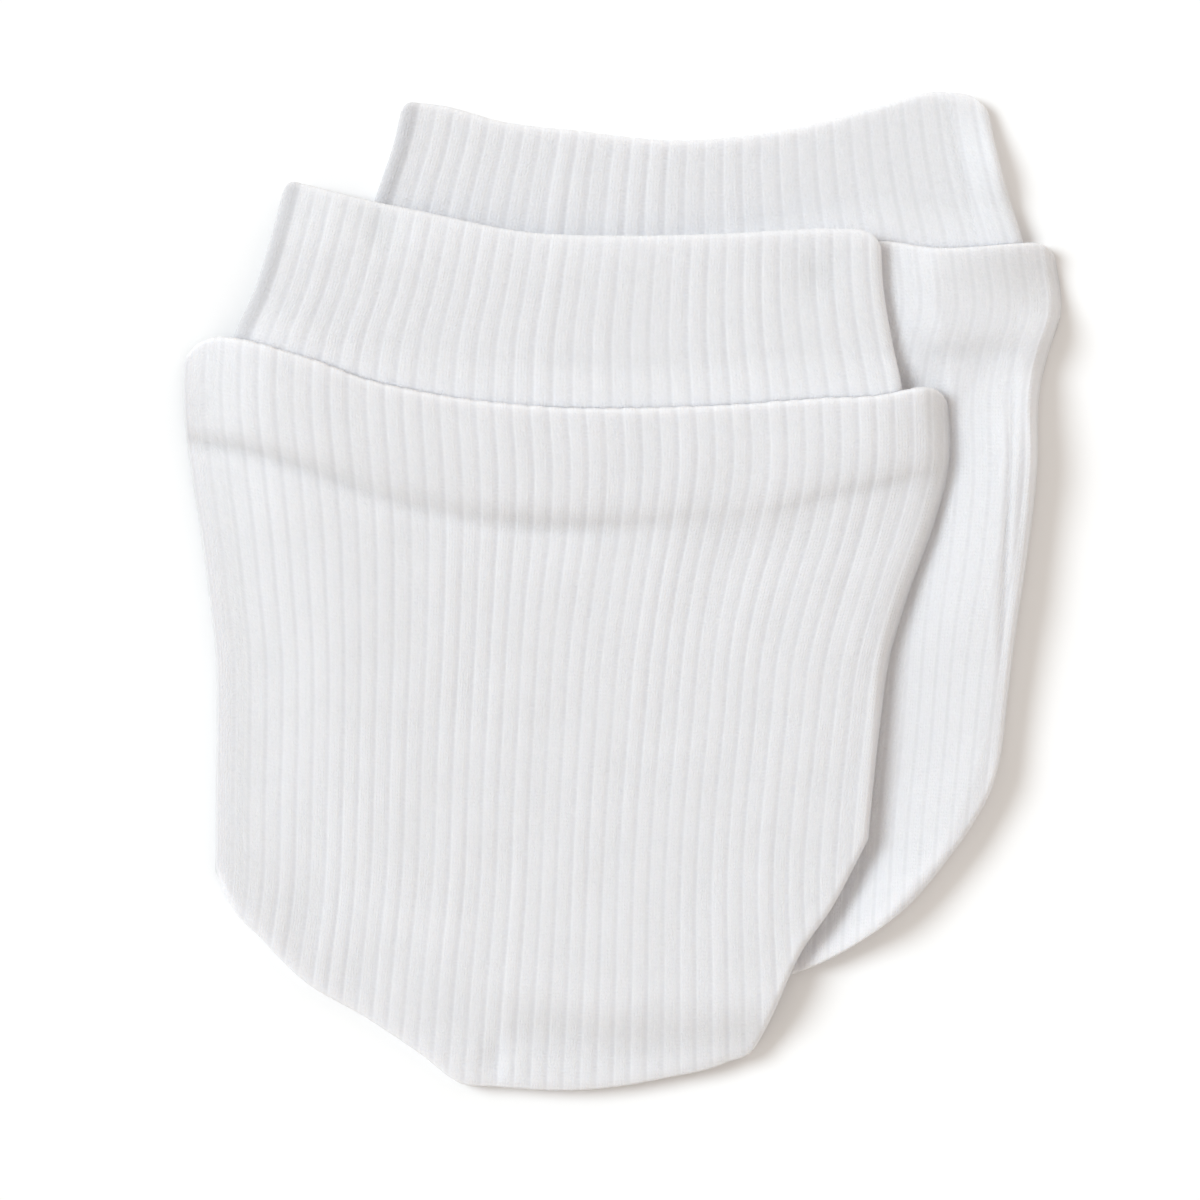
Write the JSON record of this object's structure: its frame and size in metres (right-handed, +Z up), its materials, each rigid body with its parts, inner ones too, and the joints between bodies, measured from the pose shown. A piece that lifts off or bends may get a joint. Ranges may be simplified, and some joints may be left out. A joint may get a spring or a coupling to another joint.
{
  "type": "pair of baby mittens",
  "caption": "Newborn's rib-knit mittens laid flat on each other, each a rounded thumbless hand bag with a doubled ribbed cuff set into its puffed mouth.",
  "frame": {"origin": "middle of the pair's bounding box, on the surface that it lies on", "axes": "+Z up from the surface, +Y from the mittens' tips towards their cuffs, +X across the hands, from the top mitten's side towards the side where the low mitten shows"},
  "size_m": [0.1058, 0.1203, 0.012],
  "materials": {
    "hand_knit": "soft matte white rib knit, slightly brushed",
    "cuff_knit": "soft matte white rib knit, doubled, with a folded rim"
  },
  "bodies": {
    "root": {"top_hand_front": "hand_knit", "top_hand_back": "hand_knit", "top_cuff": "cuff_knit", "low_hand_front": "hand_knit", "low_hand_back": "hand_knit", "low_cuff": "cuff_knit"}
  },
  "joints": []
}
